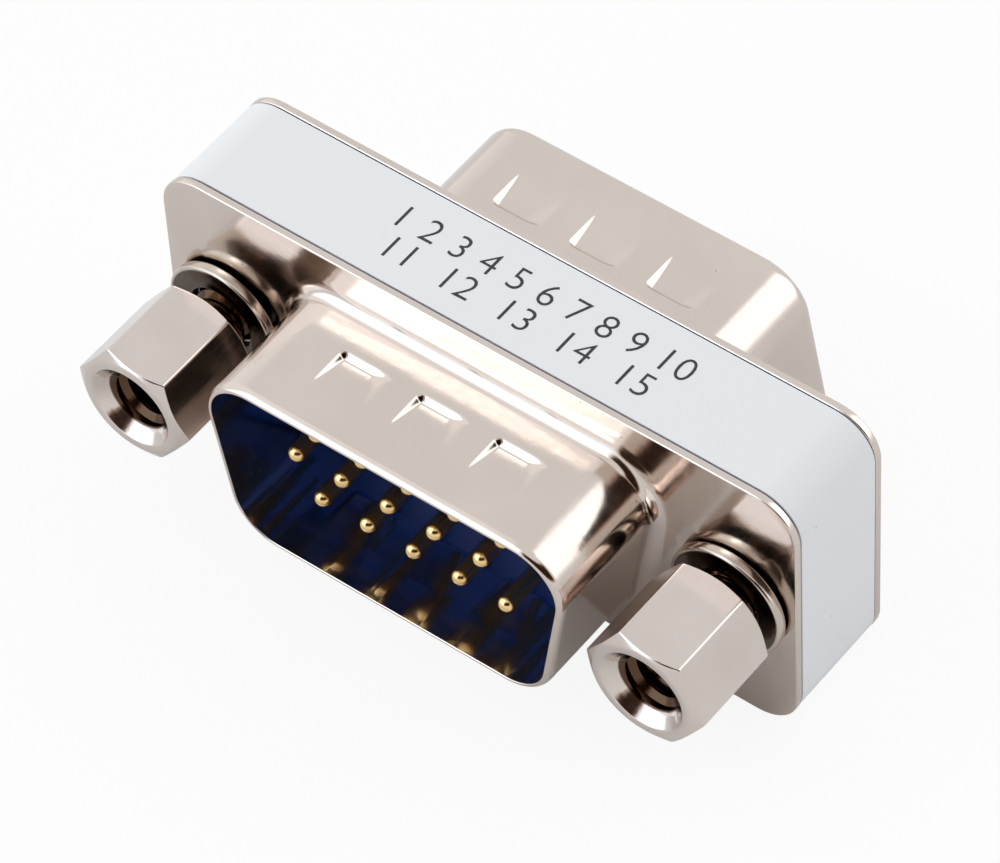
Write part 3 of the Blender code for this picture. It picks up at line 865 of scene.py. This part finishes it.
def insert_bush():
    """Bush between the plates, with a bore for the thread's ridge."""
    bm = bmesh.new()
    front = PLATE_THICKNESS + SEAT_GAP
    back = BODY_DEPTH - PLATE_THICKNESS - SEAT_GAP
    lead = INSERT_BORE_LEAD
    chamfer = INSERT_CHAMFER
    bore = INSERT_BORE_RADIUS
    profile = [
        (bore + lead, front),
        (INSERT_RADIUS - chamfer, front),
        (INSERT_RADIUS, front + chamfer),
        (INSERT_RADIUS, back - chamfer),
        (INSERT_RADIUS - chamfer, back),
        (bore + lead, back),
        (bore, back - lead),
        (bore, front + lead),
        (bore + lead, front),
    ]
    lathe(bm, profile, 56)
    return bm


def insert_thread():
    """Ridge of the thread in the rear half of a bush, behind the standoff's stud."""
    bm = bmesh.new()
    root = INSERT_BORE_RADIUS + THREAD_OVERLAP
    section = ridge(root, INSERT_THREAD_CREST, INSERT_THREAD_START, BORE_CREST_HALF_WIDTH)
    coil(bm, section, 0.3, 1.6, THREAD_PITCH, 40)
    return bm


# Make every piece

SHEET = sheet_nickel()
TURNED = turned_nickel()
SPRING = washer_steel()
GOLD = contact_gold()
BRASS = insert_brass()
BLUE = blue_moulding()
FILM = label_film()
INK = label_ink()
LAMINATE = board_laminate()

for side, place in (("front", FRONT), ("rear", REAR)):
    place_piece(side + "_drawn_shell", drawn_shell(), place, SHEET,
                [side + "_shell"], 60, True)
    place_piece(side + "_moulding", insulator(), place, BLUE,
                [side + "_insulator"], 35, True)
    for number, (x, z) in enumerate(contact_places(), start=1):
        spot = place @ Matrix.Translation((x, 0, z))
        place_piece(f"{side}_contact_{number:02d}", contact(), spot, GOLD,
                    [f"{side}_pin_{number:02d}"], 50)

place_piece("white_band", label_band(), FRONT, FILM, ["label_band"], 40, True)

for hand, x, reach, turn, split in (
    ("left", -FASTENER_X, LEFT_STANDOFF_REACH, LEFT_STANDOFF_TURN, LEFT_WASHER_SPLIT_AT),
    ("right", FASTENER_X, RIGHT_STANDOFF_REACH, RIGHT_STANDOFF_TURN, RIGHT_WASHER_SPLIT_AT),
):
    face = at_fastener(x, reach)
    plate = at_fastener(x, 0)
    place_piece(hand + "_hex", standoff(turn), face, TURNED,
                [hand + "_standoff"], 35, True)
    place_piece(hand + "_hex_bore_thread", bore_thread(), face, TURNED, (), 35)
    place_piece(hand + "_hex_stud_thread", stud_thread(), face, TURNED, (), 35)
    place_piece(hand + "_spring_washer", spring_washer(split), plate, SPRING,
                [hand + "_lock_washer"], 40)
    place_piece(hand + "_bush", insert_bush(), plate, BRASS, [hand + "_insert"], 35)
    place_piece(hand + "_bush_thread", insert_thread(), plate, BRASS, (), 35)

for line, numbers, x, back in (
    ("upper_numbers", "1 2 3 4 5 6 7 8 9 10", 0.90, 3.50),
    ("lower_numbers", "11  12  13  14  15", 0.75, 1.95),
):
    on_band = (x, FRONT_FACE_Y + back, PLATE_HEIGHT - LABEL_INSET + INK_GAP)
    place_piece(line, printed_numbers(line, numbers), TO_METRES @ Matrix.Translation(on_band),
                INK, (), 30)

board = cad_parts["contact_board"]
board.data.materials.clear()
board.data.materials.append(LAMINATE)

# Table, studio and camera


def table_surface():
    """Plain white table. The camera sees it whiter, and the metal sees it in cooler light."""
    material = bpy.data.materials.new("table_white")
    material.use_nodes = True
    tree = material.node_tree
    wire = Wire(tree)
    tree.nodes.remove(tree.nodes["Principled BSDF"])
    path = wire.node("ShaderNodeLightPath", {}, {}, "Is Camera Ray")
    white = path.beside("Is Glossy Ray").blend((0.88, 0.88, 0.88, 1), (0.85, 0.887, 0.905, 1))
    matte = wire.node("ShaderNodeBsdfDiffuse", {}, {"Color": white})
    glow = wire.node("ShaderNodeEmission", {}, {"Color": (1, 1, 1, 1), "Strength": 1.0})
    mixed = wire.node("ShaderNodeMixShader", {}, {0: path * 0.90, 1: matte, 2: glow})
    tree.links.new(mixed.socket, tree.nodes["Material Output"].inputs["Surface"])
    return material


def table():
    bm = bmesh.new()
    bmesh.ops.create_circle(bm, cap_ends=True, radius=0.45, segments=64)
    mesh = bpy.data.meshes.new("table")
    bm.to_mesh(mesh)
    bm.free()
    mesh.materials.append(table_surface())
    made = bpy.data.objects.new("table", mesh)
    bpy.context.scene.collection.objects.link(made)


def studio_world():
    """Pale room: a large soft light at the left front, a weaker one at the right back, and the
    dark part of the room behind the photographer. The camera sees plain white."""
    world = bpy.data.worlds.new("studio")
    bpy.context.scene.world = world
    world.use_nodes = True
    tree = world.node_tree
    wire = Wire(tree)
    direction = wire.node("ShaderNodeTexCoord", {}, {}, "Generated")
    right = wire.node("ShaderNodeSeparateXYZ", {}, {0: direction}, 0)
    azimuth = wire.math("ARCTAN2", right, 0 - right.beside(1)) * math.degrees(1)
    elevation = wire.math("ARCSINE", right.beside(2)) * math.degrees(1)

    def patch(from_azimuth, to_azimuth, to_elevation, blur):
        """1 between two azimuths and up to an elevation, all in degrees as in towards()."""
        sides = azimuth.above(from_azimuth - blur, from_azimuth + blur)
        sides = sides * (1 - azimuth.above(to_azimuth - blur, to_azimuth + blur))
        return sides * (1 - elevation.above(to_elevation - blur, to_elevation + blur))

    left_light = patch(-66, -12, 62, 6)
    side_light = patch(-122, -66, 70, 8)
    back_light = patch(106, 158, 64, 7) * elevation.above(2, 16)
    dark = patch(-7, 92, 51, 5) * elevation.above(7, 15)
    sky = (0.92 + left_light * 0.84 + side_light * 0.20 + back_light * 0.90) * (1 - dark)
    path = wire.node("ShaderNodeLightPath", {}, {}, "Is Camera Ray")
    glossy = path.beside("Is Glossy Ray")
    strength = (sky * (0.93 + glossy * 0.07) + dark * 0.03) * (1 - path) + path
    cool = glossy.blend((1, 1, 1, 1), (0.965, 1.007, 1.028, 1))
    cooler = (left_light * glossy).blend(cool, (0.90, 1.05, 1.18, 1))
    tint = (dark * (1 - path)).blend(cooler, (1.0, 0.46, 0.22, 1))
    background = tree.nodes["Background"]
    tree.links.new(tint.socket, background.inputs["Color"])
    tree.links.new(strength.socket, background.inputs["Strength"])


def softbox(name, azimuth, elevation, distance, width, height, radiance):
    """Rectangular lamp aimed at the object, all in metres."""
    lamp = bpy.data.lights.new(name, "AREA")
    lamp.shape = "RECTANGLE"
    lamp.size = width
    lamp.size_y = height
    lamp.energy = radiance * math.pi * width * height
    made = bpy.data.objects.new(name, lamp)
    bpy.context.scene.collection.objects.link(made)
    away = towards(azimuth, elevation)
    made.location = Vector((0, 0, 0.006)) + away * distance
    made.rotation_mode = "QUATERNION"
    made.rotation_quaternion = away.to_track_quat("Z", "Y")


def camera():
    """Camera at the photograph's place, rolled a little about its own axis."""
    away = towards(CAMERA_AZIMUTH, CAMERA_ELEVATION)
    level = towards(CAMERA_AZIMUTH + 90, 0)
    upright = away.cross(level)
    roll = math.radians(CAMERA_ROLL)
    across = level * math.cos(roll) + upright * math.sin(roll)
    up = upright * math.cos(roll) - level * math.sin(roll)
    place = away * CAMERA_DISTANCE + across * CAMERA_SHIFT_ACROSS + up * CAMERA_SHIFT_UP
    place += Vector((0, FRONT_FACE_Y, CAMERA_SHIFT_Z))
    data = bpy.data.cameras.new("camera")
    data.sensor_width = SENSOR_WIDTH
    data.lens = CAMERA_FOCAL_LENGTH * SENSOR_WIDTH
    data.clip_start = 0.01
    data.clip_end = 10.0
    made = bpy.data.objects.new("camera", data)
    bpy.context.scene.collection.objects.link(made)
    turn = Matrix((across, up, away)).transposed().to_4x4()
    made.matrix_world = Matrix.Translation(place * 0.001) @ turn
    bpy.context.scene.camera = made


table()
studio_world()
softbox("key_softbox", -35, 43, distance=0.60, width=0.12, height=0.12, radiance=4.0)
camera()
bpy.context.scene.view_settings.view_transform = "Standard"
